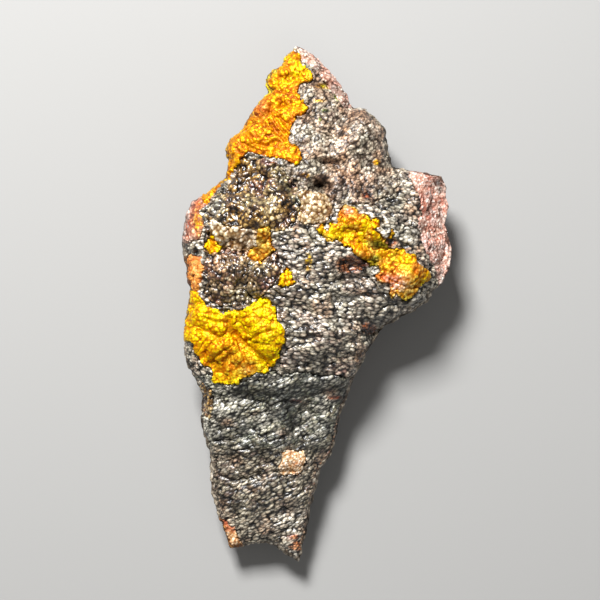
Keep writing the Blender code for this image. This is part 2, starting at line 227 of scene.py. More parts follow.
BRONZE_FIELD = tenths(
    -156, 304, -84, 288, -44, 236, -48, 164, -80, 94, -86, 16, -150, -6, -214, 4, -242, 90, -240, 164,
    -208, 226,
)
WALL_BITE = 0.7
WALL_LEAN = 0.3
WALL_SPACING = 5.0
BACK_LEVEL = 1.2
BACK_RELIEF = 3.4
BACK_DEPTH = 40.0
BACK_WAVES = [(12.0, 0.6), (5.4, 0.3)]
BACK_RIDGES = (8.4, 0.35)
BACK_SHOULDER = 7.0
REST_PLACES = [
    (0.0, -4.0, 11.0), (-12.5, -38.0, 8.0), (18.0, 13.0, 8.0), (-19.0, 11.0, 8.0), (-2.0, 36.0, 8.0),
]
REST_DEPTH = 3.0
STONE_GRAINS = [(1.1, 0.8), (2.4, 0.5)]
LUMP_TOP = 0.9
GRAIN_LEAST = 0.82
GRAIN_MIDDLE = 0.7
# GRAIN_LOW to LARGE_SEAM set the painted shade in the balls' seams and low parts and the painted light on
# their tops.
GRAIN_LOW = 0.62
GRAIN_SPAN = 0.3
SEAM_WIDTH = 0.16
LARGE_WIDTH = 0.3
LARGE_SEAM = 0.38
HOLLOW_LEAST = 1.0
HOLLOW_DEPTH = 2.6
HOLLOW_SHADE = 0.7
GRAIN_FLOOR = -0.35
WALL_WANDER = 0.9
COVER_START = 1.1
COVER_FADE = 0.8
COVER_SINK = 0.85
BREAK_FACETS = [(3.2, 0.55), (1.4, 0.28)]


def along(points, share):
    """Points at these shares of the length of the line through the given points."""
    line = np.array(points, float)
    steps = np.hypot(*np.diff(line, axis=0).T)
    reach = np.concatenate([[0.0], np.cumsum(steps)]) / steps.sum()
    return np.stack([np.interp(share, reach, line[:, i]) for i in range(2)], axis=-1)


def plan(u, v):
    """Plan position: straight rows between matched points of the long edges, bent to the foot's edge."""
    left = along(LEFT_EDGE, v)
    right = along(RIGHT_EDGE, np.interp(v, LEFT_MATCH, RIGHT_MATCH))
    row = left + (right - left) * u[:, None]
    ends = np.array([LEFT_EDGE[-1], RIGHT_EDGE[-1]], float)
    chord = ends[0] + (ends[1] - ends[0]) * u[:, None]
    pull = np.clip(1 - (1 - v) / FOOT_REACH, 0, 1) ** FOOT_EASE
    return row + (along(FOOT_EDGE, u) - chord) * pull[:, None]


def to_line(points, line):
    """Distance to the nearest stretch of a line through the given points."""
    a = np.array(line, float)
    best = np.full(len(points), np.inf)
    for start, end in zip(a[:-1], a[1:]):
        step = end - start
        share = np.clip(((points - start) @ step) / (step @ step), 0, 1)
        best = np.minimum(best, np.linalg.norm(points - start - share[:, None] * step, axis=1))
    return best


def inside(points, outline):
    """Distance to the nearest stretch of a closed outline, positive inside it and negative outside."""
    a = np.array(outline, float)
    odd = np.zeros(len(points), bool)
    x, y = points.T
    for start, end in zip(a, np.roll(a, -1, axis=0)):
        edge = end - start
        rise = edge[1] if edge[1] else 1e-9
        odd ^= ((start[1] > y) != (end[1] > y)) & (x < start[0] + edge[0] * (y - start[1]) / rise)
    return to_line(points, [*outline, outline[0]]) * np.where(odd, 1, -1)


def step_up(value, width):
    """Smooth step from 0 to 1 as the value goes from minus half the width to plus half."""
    t = np.clip(value / width + 0.5, 0, 1)
    return t * t * (3 - 2 * t)


def scatter(cells, salt):
    """Repeatable number from 0 to 1 for each whole-number cell."""
    n = cells @ np.array([374761393, 668265263, 1103515245]) + salt * 362437
    n = n & 0xFFFFFFFF
    n = ((n ^ (n >> 13)) * 1274126177) & 0xFFFFFFFF
    return ((n ^ (n >> 16)) & 0xFFFFFF) / float(0xFFFFFF)


def swell(points, spacing, salt):
    """Smooth hills and hollows from -1 to 1, that far apart: random heights blended on a lattice."""
    p = points / spacing
    base = np.floor(p).astype(np.int64)
    f = p - base
    f = f * f * (3 - 2 * f)
    total = np.zeros(len(p))
    for corner in np.ndindex(2, 2, 2):
        weight = np.prod(np.where(np.array(corner) == 1, f, 1 - f), axis=1)
        total += weight * scatter(base + np.array(corner), salt)
    return total * 2 - 1


def lumps(points, spacing, salt, least=0.55):
    """Height from 0 to 0.9 of the highest of the balls packed that far apart over each point, that
    ball's random number from 0 to 1, and its height over the next highest, 0 in a seam."""
    p = points / spacing
    base = np.floor(p).astype(np.int64)
    top, second = np.zeros(len(p)), np.zeros(len(p))
    pick = np.full(len(p), 0.5)
    for shift in np.ndindex(3, 3, 3):
        cell = base + np.array(shift) - 1
        centre = cell + np.stack([scatter(cell, salt + k) for k in range(3)], axis=1)
        size = least + (LUMP_TOP - least) * scatter(cell, salt + 3)
        height = np.sqrt(np.clip(size**2 - ((p - centre) ** 2).sum(axis=1), 0, None))
        pick = np.where(height > top, scatter(cell, salt + 4), pick)
        second = np.maximum(second, np.minimum(top, height))
        top = np.maximum(top, height)
    return top, pick, top - second


def on_plane(xy, z=0.0):
    """Plan points as points in space, for the lattice functions."""
    return np.column_stack([xy, np.full(len(xy), z)])


def rim_gap(xy):
    """How far plan points lie inside the specimen's outline."""
    return inside(xy, LEFT_EDGE + FOOT_EDGE[1:-1] + RIGHT_EDGE[::-1])


def forms(xy, weights):
    """Sum of the named forms, each a bell over its turned ellipse times its weight."""
    total = np.zeros(len(xy))
    for (_, x, y, across, down, turn, _), weight in zip(RELIEF, weights):
        c, s = np.cos(np.radians(turn)), np.sin(np.radians(turn))
        dx, dy = xy[:, 0] - x, xy[:, 1] - y
        reach = ((dx * c + dy * s) / across) ** 2 + ((dy * c - dx * s) / down) ** 2
        total += weight * np.exp(-reach)
    return total


def hollows(xy):
    """Share from 0 to 1 of lying in one of the named hollows, by its depth."""
    depths = [max(-form[-1] - HOLLOW_LEAST, 0) for form in RELIEF]
    return np.clip(forms(xy, depths) / HOLLOW_DEPTH, 0, 1)


def crown(xy):
    """Height of the middle of the face along the length, where its ledges wander a little."""
    wander = LEDGE_WANDER * swell(on_plane(xy), LEDGE_SPACING, 61)
    bow = LEDGE_BOW * (1 - (xy[:, 0] / LEDGE_HALF_WIDTH) ** 2)
    return np.interp(xy[:, 1] + wander - bow, CROWN_Y, CROWN_Z)


def face_height(xy):
    """Height of the crusted face: the crown falling to the sides, plus bosses, hollows, hills, lumps
    and crust steps, brought down to the rim along a curve."""
    middle = crown(xy)
    gap = np.clip(rim_gap(xy), 0, None)
    height = middle * (1 - SIDE_FALL * np.clip(1 - gap / ROOF_REACH, 0, 1) ** SIDE_CURVE)
    span = step_up(xy[:, 1] - LOBE_LOW_END, LOBE_FADE) * step_up(LOBE_HIGH_END - xy[:, 1], LOBE_FADE)
    fall = np.clip(xy[:, 0] - LOBE_TOP, 0, None) * LOBE_SLOPE * span
    height += forms(xy, [form[-1] for form in RELIEF]) - fall
    spots = on_plane(xy)
    height += HILL_RISE * swell(spots, HILL_SPACING, 11)
    height += LUMP_RISE * (lumps(spots, LUMP_SPACING, 21)[0] - LUMP_MIDDLE)
    bronze = step_up(inside(xy, BRONZE_FIELD), BRONZE_FADE)
    height += bronze * BRONZE_RISE * (lumps(spots, BRONZE_SPACING, 31)[0] - LUMP_MIDDLE)
    for outline in CRUST_OUTLINES.values():
        height += CRUST_STEP * step_up(inside(xy, outline), CRUST_EDGE)
    rim = middle * EDGE_SHARE
    share = 1 - (1 - np.clip(gap / EDGE_ROUND, 0, 1)) ** 2
    return rim + (height - rim) * share


def back_points(u, v):
    """Points of the broken back: hills and hollows with the resting places sunk, drawn in from the rim."""
    xy = plan(BACK_INSET + (1 - 2 * BACK_INSET) * u, BACK_INSET / 2 + (1 - BACK_INSET) * v)
    spots = on_plane(xy, BACK_DEPTH)
    rough = sum(share * swell(spots, spacing, 41 + k) for k, (spacing, share) in enumerate(BACK_WAVES))
    rough += BACK_RIDGES[1] * np.abs(swell(spots, BACK_RIDGES[0], 43))
    height = BACK_LEVEL + BACK_RELIEF * rough
    for x, y, radius in REST_PLACES:
        height -= REST_DEPTH * np.exp(-(((xy - [x, y]) / radius) ** 2).sum(axis=1))
    rim = crown(xy) * BACK_EDGE_SHARE
    share = np.clip(rim_gap(plan(u, v)) / BACK_SHOULDER, 0, 1)
    return np.column_stack([xy, rim + (height - rim) * np.sin(share * np.pi / 2)])


def inward(xy):
    """Unit direction away from the outline, from the slope of the gap over a millimetre each way."""
    steps = [rim_gap(xy + d) - rim_gap(xy - d) for d in ([1.0, 0.0], [0.0, 1.0])]
    slope = np.stack(steps, axis=1)
    return slope / (np.linalg.norm(slope, axis=1)[:, None] + 1e-9)


def cells_of(index):
    """Four corner numbers of each cell of a grid of point numbers."""
    return np.stack([index[:-1, :-1], index[1:, :-1], index[1:, 1:], index[:-1, 1:]], axis=-1).reshape(-1, 4)


def closed_mesh(name, points, quads, marks):
    """Smooth-shaded mesh from points in millimetres, four-sided faces and named numbers on the points."""
    mesh = bpy.data.meshes.new(name)
    mesh.vertices.add(len(points))
    mesh.vertices.foreach_set("co", (points * MM).astype(np.float32).ravel())
    mesh.loops.add(quads.size)
    mesh.loops.foreach_set("vertex_index", quads.astype(np.int32).ravel())
    mesh.polygons.add(len(quads))
    mesh.polygons.foreach_set("loop_start", np.arange(0, quads.size, 4, dtype=np.int32))
    mesh.polygons.foreach_set("use_smooth", np.ones(len(quads), bool))
    mesh.update(calc_edges=True)
    for mark, values in marks.items():
        mesh.attributes.new(mark, "FLOAT", "POINT").data.foreach_set("value", values.astype(np.float32))
    mesh.validate()
    return placed(name, mesh)


def hang(piece, material):
    """Puts the finish on a piece, which stands for the solid and moves with it."""
    piece.data.materials.append(material)
    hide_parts(SPECIMEN)
    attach(piece, "root")


def way_out(points, quads):
    """Outward unit normal at each point, the sum of its faces' normals."""
    corner = points[quads]
    across = np.cross(corner[:, 2] - corner[:, 0], corner[:, 3] - corner[:, 1])
    total = np.zeros_like(points)
    for k in range(4):
        np.add.at(total, quads[:, k], across)
    return total / (np.linalg.norm(total, axis=1)[:, None] + 1e-12)


def stone_grid():
    """Closed grid of the slab: face, wall rings and back, with w 1 on the face and 0 on the back."""
    rows, columns = BODY_ROWS + 1, BODY_COLUMNS + 1
    v, u = np.meshgrid(np.linspace(0, 1, rows), np.linspace(0, 1, columns), indexing="ij")
    u, v = u.ravel(), v.ravel()
    xy = plan(u, v)
    top = np.column_stack([xy, face_height(xy)])
    low = back_points(u, v)
    index = np.arange(rows * columns).reshape(rows, columns)
    ring = np.concatenate([index[:-1, 0], index[-1, :-1], index[:0:-1, -1], index[0, :0:-1]])
    w = np.linspace(1, 0, BODY_WALL + 1)[1:-1]
    sides = low[ring] + (top[ring] - low[ring]) * w[:, None, None]
    sides = sides.reshape(-1, 3)
    w = np.repeat(w, len(ring))
    bite = WALL_BITE * (WALL_LEAN + swell(sides, WALL_SPACING, 51)) * np.sin(np.pi * w)
    sides[:, :2] += inward(sides[:, :2]) * np.clip(bite, 0.1, None)[:, None]
    count = rows * columns
    rings = 2 * count + np.arange(len(w)).reshape(-1, len(ring))
    stack = np.vstack([ring, rings, count + ring])
    stack = np.column_stack([stack, stack[:, 0]])
    quads = np.vstack([cells_of(index), cells_of(count + index)[:, ::-1], cells_of(stack)])
    points = np.vstack([top, low, sides])
    w = np.concatenate([np.ones(count), np.zeros(count), w])
    return points, quads, w


def grainy(points, grains, salt, out=0.0):
    """Height of two sizes of balls, 0 on average, the small ones packed over the large, which rise along
    the given direction; with marks: the small ball's number, how near its top each place lies, used for
    painted light on the tops, and the share left unshaded, 0 in the seams of either and low on the
    balls, used for painted shade."""
    (spacing, rise), (large_spacing, large_rise) = grains
    large, _, over_large = lumps(points, large_spacing, salt + 7, GRAIN_LEAST)
    large = large_rise * (large - GRAIN_MIDDLE)
    top, pick, over_next = lumps(points + out * large[:, None], spacing, salt, GRAIN_LEAST)
    # Painted shade: the share left unshaded is 0 in the seams and low on the balls.
    unshaded_share = np.clip(over_next / SEAM_WIDTH, 0, 1) * step_up(top - GRAIN_LOW, GRAIN_SPAN)
    unshaded_share *= LARGE_SEAM + (1 - LARGE_SEAM) * np.clip(over_large / LARGE_WIDTH, 0, 1)
    # Painted light: how near its ball's top each place lies, which lightens the tones there.
    top_light = np.clip((top - GRAIN_LOW) / GRAIN_SPAN, 0, 1)
    return large + rise * (top - GRAIN_MIDDLE), {"unshaded": unshaded_share, "pick": pick, "top_light": top_light}


points, quads, w = stone_grid()
out = way_out(points, quads)
grain, grain_marks = grainy(points, STONE_GRAINS, 71, out)
facets = sum(rise * swell(points, spacing, 75 + k) for k, (spacing, rise) in enumerate(BREAK_FACETS))
on_face = w == 1
covered = step_up(rim_gap(points[:, :2]) - COVER_START, COVER_FADE)
on_top = np.maximum(grain, GRAIN_FLOOR) * (1 - covered) - COVER_SINK * covered
broken = np.minimum(facets + 0.5 * grain - 0.1, 0.05)
points = points + out * np.where(on_face, on_top, broken)[:, None]
points[:, 2] = np.maximum(points[:, 2], 0.0)


def tint(code):
    """Linear colour of a six-digit colour code."""
    shares = np.array([int(code[i : i + 2], 16) for i in (0, 2, 4)]) / 255
    return (*np.where(shares > 0.04045, ((shares + 0.055) / 1.055) ** 2.4, shares / 12.92), 1.0)


def plug(tree, socket, value):
    """Links a socket to the value where that is a socket too, or else sets it."""
    if isinstance(value, bpy.types.NodeSocket):
        tree.links.new(value, socket)
    else:
        socket.default_value = value


def add(tree, kind, **inputs):
    """New node of this kind, with its named inputs plugged."""
    made = tree.nodes.new("ShaderNode" + kind)
    for name, value in inputs.items():
        plug(tree, made.inputs[name.replace("_", " ")], value)
    return made


def mark_of(tree, name):
    """Socket that gives the named number from the piece's points."""
    made = tree.nodes.new("ShaderNodeAttribute")
    made.attribute_name = name
    return made.outputs["Fac"]


def ramp(tree, factor, tones):
    """Socket of a colour ramp with evenly spaced tones, given as colour codes."""
    made = add(tree, "ValToRGB", Fac=factor)
    stops = made.color_ramp.elements
    for k in range(len(tones) - 2):
        stops.new((k + 1) / (len(tones) - 1))
    for k, code in enumerate(tones):
        stops[k].position = k / (len(tones) - 1)
        stops[k].color = tint(code)
    return made.outputs["Color"]


def mix(tree, factor, first, second, blend="MIX"):
    """Socket of the first colour mixed with the second by the factor."""
    made = tree.nodes.new("ShaderNodeMix")
    made.data_type = "RGBA"
    made.blend_type = blend
    for place, value in [(0, factor), (6, first), (7, second)]:
        plug(tree, made.inputs[place], value)
    return made.outputs[2]


def number(tree, operation, first, second, third=0.0):
    """Socket of a sum, product or other operation on numbers."""
    made = tree.nodes.new("ShaderNodeMath")
    made.operation = operation
    for socket, value in zip(made.inputs, [first, second, third]):
        plug(tree, socket, value)
    return made.outputs[0]


def noise(tree, spacing, detail=3.0):
    """Socket of a cloudy pattern whose patches are that many millimetres apart."""
    place = tree.nodes.new("ShaderNodeTexCoord").outputs["Object"]
    made = add(tree, "TexNoise", Vector=place, Scale=1 / (spacing * MM), Detail=detail, Roughness=0.6)
    return made.outputs["Fac"]


def pebbles(tree, spacing, turn, stretch):
    """Sockets of small rounded cells that far apart, drawn out along one direction: the distance from
    each cell's middle and the cell's own random number."""
    place = tree.nodes.new("ShaderNodeTexCoord").outputs["Object"]
    turned = add(tree, "Mapping", Vector=place, Rotation=(0.0, 0.0, -np.radians(turn)))
    drawn = add(tree, "Mapping", Vector=turned.outputs[0], Scale=(1 / stretch, 1.0, 1.0))
    made = add(tree, "TexVoronoi", Vector=drawn.outputs[0], Scale=1 / (spacing * MM))
    own = add(tree, "SeparateColor", Color=made.outputs["Color"]).outputs[0]
    return made.outputs["Distance"], own


def finish(name, tones, layers=(), clouds=0.5, each=0.3, shade_tint="4a4038", pebble=0.5, pebble_shade=0.5,
           slant=(0, 1.0), top_light_strength=0.4, roughness=0.42, metallic=0.0, gloss=0.5, coat=0.0, bump=0.5):
    """Material of a crust: tones picked by the tone mark, clouds and the numbers of lumps and pebbles;
    painted light on the balls' tops; other tones over them where a mark says, the film's picked by the
    hue mark; painted shade in the seams and low on the balls; and pebbles and a fine grain in the bump
    and the gloss."""
    material = bpy.data.materials.new(name)
    material.use_nodes = True
    tree = material.node_tree
    shader = tree.nodes["Principled BSDF"]
    gap, own = pebbles(tree, pebble, *slant)
    cloud = number(tree, "SUBTRACT", noise(tree, 1.5), 0.5)
    own = number(tree, "SUBTRACT", number(tree, "ADD", mark_of(tree, "pick"), own), 1.0)
    pick = number(tree, "MULTIPLY_ADD", cloud, clouds * 2, mark_of(tree, "tone"))
    pick = number(tree, "MULTIPLY_ADD", own, each, pick)
    # Painted light and shade on each ball: lighter tones near its top, darker low on it.
    pick = number(tree, "MULTIPLY_ADD", number(tree, "SUBTRACT", mark_of(tree, "top_light"), 0.5), top_light_strength, pick)
    hue = number(tree, "MULTIPLY_ADD", own, 0.4, mark_of(tree, "hue"))
    colour = ramp(tree, pick, tones)
    for mark, over in layers:
        colour = mix(tree, mark_of(tree, mark), colour, ramp(tree, hue if mark == "film" else pick, over))
    # Painted shade: seams between balls and pebbles, and the balls' low parts, are multiplied by the shade
    # tint.
    seam = add(tree, "MapRange", Value=gap, From_Min=0.3, From_Max=0.62, To_Max=pebble_shade).outputs[0]
    unshaded_share = number(tree, "MULTIPLY", mark_of(tree, "unshaded"), number(tree, "SUBTRACT", 1.0, seam))
    dark = mix(tree, 1.0, colour, tint(shade_tint), "MULTIPLY")
    colour = mix(tree, unshaded_share, dark, colour)
    tree.links.new(colour, shader.inputs["Base Color"])
    fine = noise(tree, 0.35, 2.0)
    matte = add(tree, "MapRange", Value=fine, To_Min=roughness - 0.1, To_Max=roughness + 0.14).outputs[0]
    tree.links.new(matte, shader.inputs["Roughness"])
    shader.inputs["Specular IOR Level"].default_value = gloss
    shader.inputs["Metallic"].default_value = metallic
    shader.inputs["Coat Weight"].default_value = coat
    shader.inputs["Coat Roughness"].default_value = 0.22
    height = number(tree, "MULTIPLY_ADD", fine, 0.3, number(tree, "SUBTRACT", 1.0, gap))
    relief = add(tree, "Bump", Height=height, Strength=bump, Distance=pebble * 0.5 * MM)
    tree.links.new(relief.outputs["Normal"], shader.inputs["Normal"])
    return material


RAGS = [(2.4, 0.6), (1.1, 0.3), (0.5, 0.1)]
RAG_SHIFT = 0.2
RAG_LEVEL = 9.0


def ragged(xy, outline):
    """Distance inside an outline whose edge wanders like a broken crust's."""
    spots = on_plane(xy, RAG_LEVEL)
    wander = sum(share * swell(spots, spacing, 81 + k) for k, (spacing, share) in enumerate(RAGS))
    return inside(xy, outline) + wander + RAG_SHIFT


ROSE_LOBE = tenths(
    187, 273, 227, 288, 276, 262, 296, 209, 298, 103, 286, 41, 261, 33, 244, 72, 229, 103, 218, 135,
    214, 167, 218, 199, 214, 230, 197, 252,
)
ROSE_WEST = tenths(
    -290, 211, -265, 214, -250, 222, -233, 226, -229, 214, -242, 194, -242, 165, -240, 144, -246, 133,
    -290, 127,
)
ROSE_TIP = tenths(-40, 561, -1, 535, 38, 493, 76, 448, 88, 419, 61, 415, 28, 453, -11, 500, -36, 525)
ROSE_SCAB = tenths(
    -78, -333, -72, -314, -55, -310, -40, -314, -28, -310, -25, -331, -28, -352, -36, -363, -55, -361,
    -68, -365, -78, -357, -83, -344,
)
FOOT_WEST = tenths(
    -212, -458, -197, -456, -187, -469, -178, -492, -161, -516, -178, -528, -193, -535, -210, -501,
)
GOLD_UPPER = tenths(
    -66, 527, -47, 538, -38, 523, -36, 510, -19, 504, -6, 491, -2, 474, -17, 466, -30, 464, -38, 449,
    -38, 436, -25, 425, -13, 411, -25, 389, -42, 392, -51, 372, -55, 351, -57, 336, -40, 330, -30, 315,
    -36, 298, -45, 286, -61, 292, -76, 300, -95, 305, -117, 309, -142, 315, -159, 300, -172, 283, -184, 262,
    -201, 250, -216, 233, -223, 211, -235, 214, -245, 237, -228, 258, -211, 273, -209, 305, -213, 326,
    -199, 353, -177, 382, -160, 404, -131, 421, -120, 442, -122, 453, -127, 474, -114, 500, -83, 522,
)
GOLD_LOWER = tenths(
    -293, 29, -265, 29, -248, 25, -242, 8, -231, -3, -214, -9, -193, -17, -172, -9, -153, -13, -138, -9,
    -131, 4, -117, 10, -95, 12, -89, -5, -85, -30, -74, -43, -66, -56, -68, -73, -72, -90, -78, -111,
    -83, -128, -95, -136, -108, -149, -125, -145, -138, -153, -155, -153, -167, -162, -184, -172,
    -201, -172, -218, -164, -223, -149, -227, -136, -239, -136, -252, -115, -254, -98, -261, -85, -290, -77,
    -292, -56, -292, -13,
)
OCHRE_FLAT = tenths(
    -290, 99, -259, 99, -242, 99, -240, 76, -237, 48, -246, 33, -256, 23, -269, 25, -290, 29,
)
GREY_TONES = ["5c4e3e", "ae9f88", "ddd0ba", "fff6e6"]
GOLD_TONES = ["bc7800", "eaa200", "f6ba00", "fcd200", "fff000"]
ROSE_TONES = ["b87c64", "f0b8a4", "ffe0d0", "fffaf4"]
GREEN_TONES = ["1c2408", "4c5810", "808c24", "b8b83c"]
OCHRE_TONES = ["8a4c20", "bc7630", "d89a50", "b06a34"]


def over(outlines, xy, width=0.6):
    """Share from 0 to 1 of being inside any of the ragged outlines."""
    return np.max([step_up(ragged(xy, outline), width) for outline in outlines], axis=0)


wander = np.stack([swell(points, 1.6, 94 + k) for k in range(2)], axis=1)
seen = points[:, :2] + wander * np.where(w < 1, WALL_WANDER, 0)[:, None]
stone_marks = {
    **grain_marks,
    "tone": 0.5 + 0.4 * swell(points, 5.0, 91) + 0.2 * swell(points, 1.8, 92),
    "crust": step_up(w - 0.8, 0.3),
    "rose": over([ROSE_LOBE, ROSE_WEST, ROSE_TIP], seen) * step_up(w - 0.2, 0.4),
    "gold": over([GOLD_UPPER, GOLD_LOWER], seen) * step_up(w - 0.85, 0.2),
    "ochre": np.maximum(
        over([OCHRE_FLAT, FOOT_WEST], seen) * step_up(w - 0.3, 0.4),
        0.8 * (1 - w) * step_up(swell(points, 9.0, 93) - 0.1, 0.5),
    ),
}
stone = closed_mesh("stone", points, quads, stone_marks)
stone_finish = finish(
    "stone_finish",
    ["2a1c15", "4d372a", "6e4f3b", "8a664c"],
    layers=[("crust", GREY_TONES), ("rose", ROSE_TONES), ("ochre", OCHRE_TONES), ("gold", GOLD_TONES)],
    roughness=0.6,
    coat=0.05,
)
hang(stone, stone_finish)

# Golden crusts: thin botryoidal skins of iridescent goethite that grew last, so they lie over the
# rest. Each is a closed sheet whose edge breaks off and tucks into the stone.
GOLD_CELL = 0.15
GOLD_LIFT = 0.42
RIM_CLEAR = 0.2
RIM_LAST = 0.08
RIM_NEAR = 1.2
RIM_TUCK = 0.6
ROW_STRETCH = 3.0
SHEET_MARGIN = 0.35
SHEET_SINK = 0.6
SHEET_DEPTH = 1.1
SHEET_FLOOR = -0.5
SHEET_EDGE = 0.3
EDGE_SCALLOP = 0.25
TUCK = 0.5
WARP = 0.3
WARP_SPACING = 1.7
FOLD_WANDER = 0.4
FOLD_SPACING = 1.3
FOLD_SHADE = 0.6
laid = []


def close_pinches(kept):
    """Adds cells where two kept cells meet only at a corner, so that the sheet's side stays one wall."""
    for _ in range(3):
        a, b, c, d = kept[:-1, :-1], kept[:-1, 1:], kept[1:, :-1], kept[1:, 1:]
        pinch = (a & d & ~b & ~c) | (b & c & ~a & ~d)
        for part in (a, b, c, d):
            part |= pinch
    return kept


def crust(name, outline, cell, lift, grains, marks, stretch=1.0, turn=0.0, rows=None, folds=()):
    """Closed sheet on the face: lifted inside the outline's ragged edge, sunk outside it and under the
    crusts already laid, pushed out along the face's normal by balls and rows, and cut by folds. The
    marks are a function that gives named numbers for its points."""
    low, high = np.min(outline, axis=0) - 1.0, np.max(outline, axis=0) + 1.0
    x, y = np.meshgrid(np.arange(low[0], high[0], cell), np.arange(low[1], high[1], cell))
    xy = np.column_stack([x.ravel(), y.ravel()])
    gap = ragged(xy, outline)
    for other in laid:
        gap = np.minimum(gap, TUCK - ragged(xy, other))
    to_rim = rim_gap(xy)
    gap = np.minimum(gap, to_rim - RIM_CLEAR)
    height = face_height(xy).reshape(x.shape)
    slope_y, slope_x = np.gradient(height, cell)
    normal = np.stack([-slope_x, -slope_y, np.ones_like(height)], axis=-1)
    normal = (normal / np.linalg.norm(normal, axis=-1)[..., None]).reshape(-1, 3)
    on = ((gap > -SHEET_MARGIN) & (to_rim > RIM_LAST)).reshape(x.shape)
    kept = close_pinches(on[:-1, :-1] & on[:-1, 1:] & on[1:, :-1] & on[1:, 1:])
    index = np.arange(x.size).reshape(x.shape)
    corners = np.stack([index[:-1, :-1], index[:-1, 1:], index[1:, 1:], index[1:, :-1]], axis=-1)
    used = np.unique(corners[kept])
    number_of = np.zeros(x.size, np.int64)
    number_of[used] = np.arange(len(used))
    base = np.column_stack([xy, height.ravel()])[used]
    normal, gap = normal[used], gap[used]
    near = np.clip(1 - to_rim[used] / RIM_NEAR, 0, 1)
    towards = inward(xy[used])
    lean = np.clip((normal[:, :2] * towards).sum(axis=1), 0, None) * (near > 0)
    normal[:, :2] -= lean[:, None] * towards
    under = base - normal * SHEET_DEPTH
    under[:, :2] += towards * near[:, None] * RIM_TUCK
    c, s = np.cos(np.radians(turn)), np.sin(np.radians(turn))
    warp = WARP * np.stack([swell(base, WARP_SPACING, 83 + k) for k in range(3)], axis=1)
    bed = np.array([[c, -s, 0], [s, c, 0], [0, 0, 1]]) / [stretch, 1, 1]
    spots = (base + warp) @ bed
    grain, shown = grainy(spots, grains, 101, normal @ bed)
    if rows:
        grain += rows[1] * (lumps(spots / [ROW_STRETCH, 1, 1], rows[0], 131, GRAIN_LEAST)[0] - GRAIN_MIDDLE)
    uneven = 1 + FOLD_WANDER * swell(base, FOLD_SPACING, 135)
    for width, depth, line in folds:
        valley = np.exp(-((to_line(base[:, :2], line) / (width * uneven)) ** 2))
        grain -= depth * valley
        shown["unshaded"] *= 1 - FOLD_SHADE * valley
    scallop = EDGE_SCALLOP * (shown["unshaded"] - 1)
    shown["unshaded"] = shown["unshaded"] * (1 - HOLLOW_SHADE * hollows(base[:, :2]))
    shown["hue"] = 0.5 + 0.6 * swell(base, 3.6, 137)
    shown.update(marks(base))
    share = step_up(gap + scallop - SHEET_EDGE / 2, SHEET_EDGE)
    rise = (lift + SHEET_SINK) * share - SHEET_SINK + share * np.maximum(grain, SHEET_FLOOR - lift)
    top = base + normal * rise[:, None]
    points = np.vstack([top, under])
    upper = number_of[corners[kept]]
    lower = upper[:, ::-1] + len(used)
    walls = []
    padded = np.pad(kept, 1)
    beside = [padded[:-2, 1:-1], padded[1:-1, 2:], padded[2:, 1:-1], padded[1:-1, :-2]]
    for k, neighbour in enumerate(beside):
        edge_cells = corners[kept & ~neighbour]
        a, b = number_of[edge_cells[:, k]], number_of[edge_cells[:, (k + 1) % 4]]
        walls.append(np.stack([a + len(used), b + len(used), b, a], axis=1))
    quads = np.vstack([upper, lower, *walls])
    laid.append(outline)
    return closed_mesh(name, points, quads, {mark: np.tile(values, 2) for mark, values in shown.items()})


def bell(points, x, y, across, down):
    """Smooth spot from 1 in its middle to 0, over an ellipse in the plan."""
    return np.exp(-(((points[:, :2] - [x, y]) / [across, down]) ** 2).sum(axis=1))


def upper_gold(points):
    """Yellow near the tip, the right flap and the west knob, orange elsewhere, and one rusty knob."""
    bright = 0.5 * bell(points, -3.9, 48.6, 3.0, 4.0) + 0.4 * bell(points, -2.0, 41.2, 2.2, 1.8)
    bright += 0.25 * bell(points, -19.0, 33.0, 3.0, 3.5)
    rust = bell(points, -11.7, 41.2, 1.9, 1.9)
    return {"tone": 0.44 + bright + 0.25 * swell(points, 3.4, 111), "rust": rust, "green": 0.1 + 0 * rust}


def lower_gold(points):
    """Yellow on the right half, orange on the left and paler orange towards the lower edge."""
    tone = 1.02 + 0.14 * np.tanh((points[:, 0] + 15.4) / 2) + 0.2 * swell(points, 3.4, 113)
    tone -= 0.15 * bell(points, -19.0, -11.0, 3.6, 4.0)
    peach = 0.25 * bell(points, -17.6, -12.4, 3.0, 3.0) + 0.6 * bell(points, -14.2, -13.6, 1.6, 1.6)
    return {"tone": tone, "rust": peach}


def vug_gold(points):
    """Bright yellow with an olive green hollow in the middle, an orange and grey disc at the top, a
    salmon shelf and small rusty spots."""
    green = 1.2 * bell(points, 12.3, 12.7, 2.4, 1.0) + 1.1 * bell(points, 11.6, 8.9, 1.6, 1.6)
    green += 0.9 * bell(points, 14.6, 15.0, 1.4, 1.0) + 0.4 * step_up(swell(points, 2.0, 115) - 0.4, 0.4)
    rose = 1.1 * bell(points, 16.6, 4.2, 3.0, 2.2) + 1.2 * bell(points, 6.4, 19.2, 1.3, 1.0)
    rose += 0.7 * bell(points, 13.4, 5.6, 1.4, 0.9) + 0.2 * step_up(swell(points, 1.8, 119) - 0.5, 0.4)
    rose += 0.35 * bell(points, -11.5, 12.5, 3.0, 4.0)
    bright = bell(points, 20.0, 5.0, 2.6, 1.2) + bell(points, 4.0, 14.6, 3.0, 1.6)
    bright += 1.2 * bell(points, 17.4, 2.4, 2.8, 1.8) + bell(points, -11.5, 12.5, 3.0, 4.0)
    rust = 0.6 * step_up(swell(points, 2.6, 116) - 0.45, 0.5)
    tone = 0.76 + 0.35 * swell(points, 2.0, 117) + 0.3 * bright
    return {"tone": tone, "rust": rust * (1 - bright).clip(0, 1), "green": np.clip(green, 0, 1),
            "rose": np.clip(rose, 0, 1)}


def even_gold(points):
    """Even bright yellow."""
    return {"tone": 0.95 + 0.2 * swell(points, 2.4, 118)}


